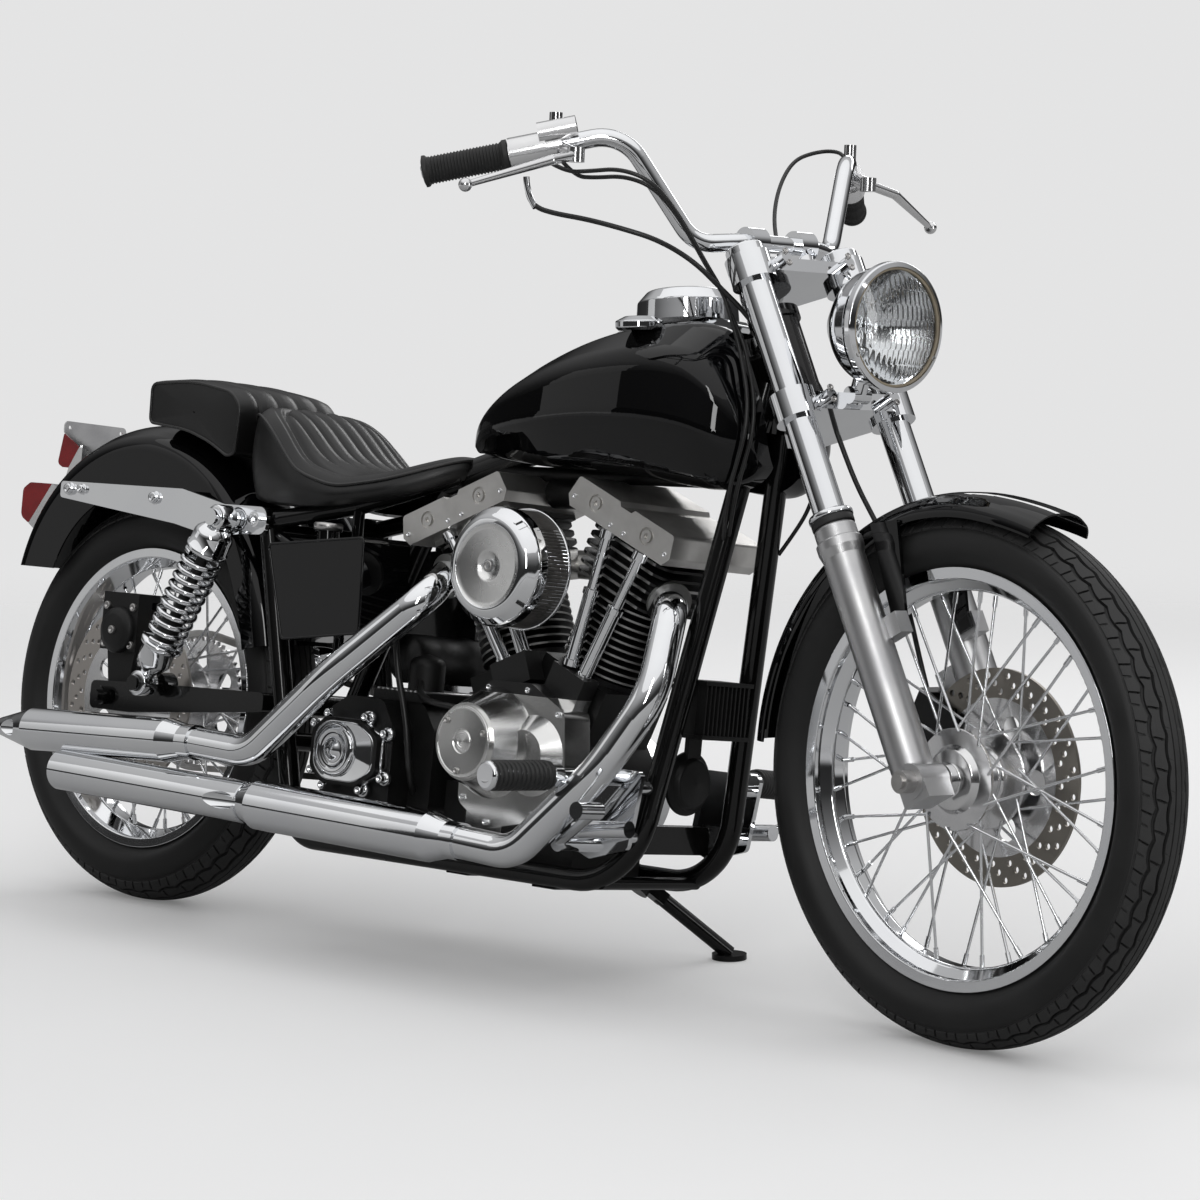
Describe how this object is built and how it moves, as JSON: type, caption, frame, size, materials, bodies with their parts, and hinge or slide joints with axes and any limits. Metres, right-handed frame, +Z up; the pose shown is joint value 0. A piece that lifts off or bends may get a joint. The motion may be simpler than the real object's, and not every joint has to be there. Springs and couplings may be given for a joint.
{
  "type": "chopper motorcycle",
  "caption": "Long custom motorcycle with a raked fork, high handlebar and V-twin engine, parked on its side stand.",
  "frame": {"origin": "centre of the bounding box's bottom face, on the ground between the wheels", "axes": "+X towards the front wheel along the length, +Y to the rider's left, where the machine leans on its stand, +Z up"},
  "size_m": [2.3107, 0.9094, 1.2388],
  "materials": {
    "black_paint": "semi-gloss",
    "gloss_black": "gloss",
    "black_engine": "wrinkle black",
    "satin_alloy": "satin",
    "chrome": "polished",
    "steel": "plain",
    "black_leather": "smooth",
    "black_rubber": "matt",
    "tyre": "matt",
    "clear_glass": "clear"
  },
  "bodies": {
    "chassis": {"air_cleaner": "chrome", "battery_box": "black_paint", "cam_cover": "chrome", "carburettor": "satin_alloy", "chassis_cables": "black_rubber", "crankcase": "black_engine", "cylinder_front": "black_engine", "cylinder_rear": "black_engine", "drive_chain": "steel", "exhaust_front": "chrome", "exhaust_rear": "chrome", "fender_struts": "chrome", "foot_controls": "chrome", "frame": "black_paint", "gearbox": "black_engine", "gearbox_hoses": "black_rubber", "horn": "black_paint", "oil_tank": "gloss_black", "pillion": "black_leather", "primary_cover": "chrome", "pushrod_tubes": "chrome", "rear_caliper": "black_paint", "rear_fender": "gloss_black", "regulator": "black_engine", "rocker_box_front": "satin_alloy", "rocker_box_rear": "satin_alloy", "seat": "black_leather", "shocks": "chrome", "swingarm": "black_paint", "tail_bracket": "steel", "tail_lamp": "chrome", "tank_console": "chrome", "tank_left": "gloss_black", "tank_right": "gloss_black"},
    "fork": {"fork_trees": "chrome", "fork_tubes": "chrome", "fork_sliders": "satin_alloy", "front_axle": "steel", "front_caliper": "black_paint", "handlebar": "chrome", "grips": "black_rubber", "hand_controls": "satin_alloy", "headlamp_shell": "chrome", "headlamp_lens": "clear_glass", "headlamp_reflector": "chrome", "front_fender": "gloss_black", "fork_cables": "black_rubber"},
    "front_wheel": {"front_tyre": "tyre", "front_rim": "chrome", "front_spokes": "steel", "front_hub": "satin_alloy"},
    "rear_wheel": {"rear_tyre": "tyre", "rear_rim": "chrome", "rear_spokes": "steel", "rear_hub": "satin_alloy"},
    "side_stand": {"side_stand": "black_paint"}
  },
  "joints": [
    {"name": "steering", "type": "hinge", "parent": "chassis", "child": "fork", "pos_m": [0.42199, -0.03597, 0.88345], "axis": [-0.4746, 0.1225, 0.8716], "range_deg": [-19.25, 36.75]},
    {"name": "front_wheel_spin", "type": "hinge", "parent": "fork", "child": "front_wheel", "pos_m": [0.80112, -0.12256, 0.35633], "axis": [0.134, 0.9888, -0.0661], "continuous": true},
    {"name": "rear_wheel_spin", "type": "hinge", "parent": "chassis", "child": "rear_wheel", "pos_m": [-0.80803, -0.11472, 0.32243], "axis": [0.0001, 0.9903, -0.1392], "continuous": true},
    {"name": "side_stand_fold", "type": "hinge", "parent": "chassis", "child": "side_stand", "pos_m": [0.12209, -0.00409, 0.11858], "axis": [0.1807, 0.6491, 0.7389], "range_deg": [0, 100]}
  ]
}
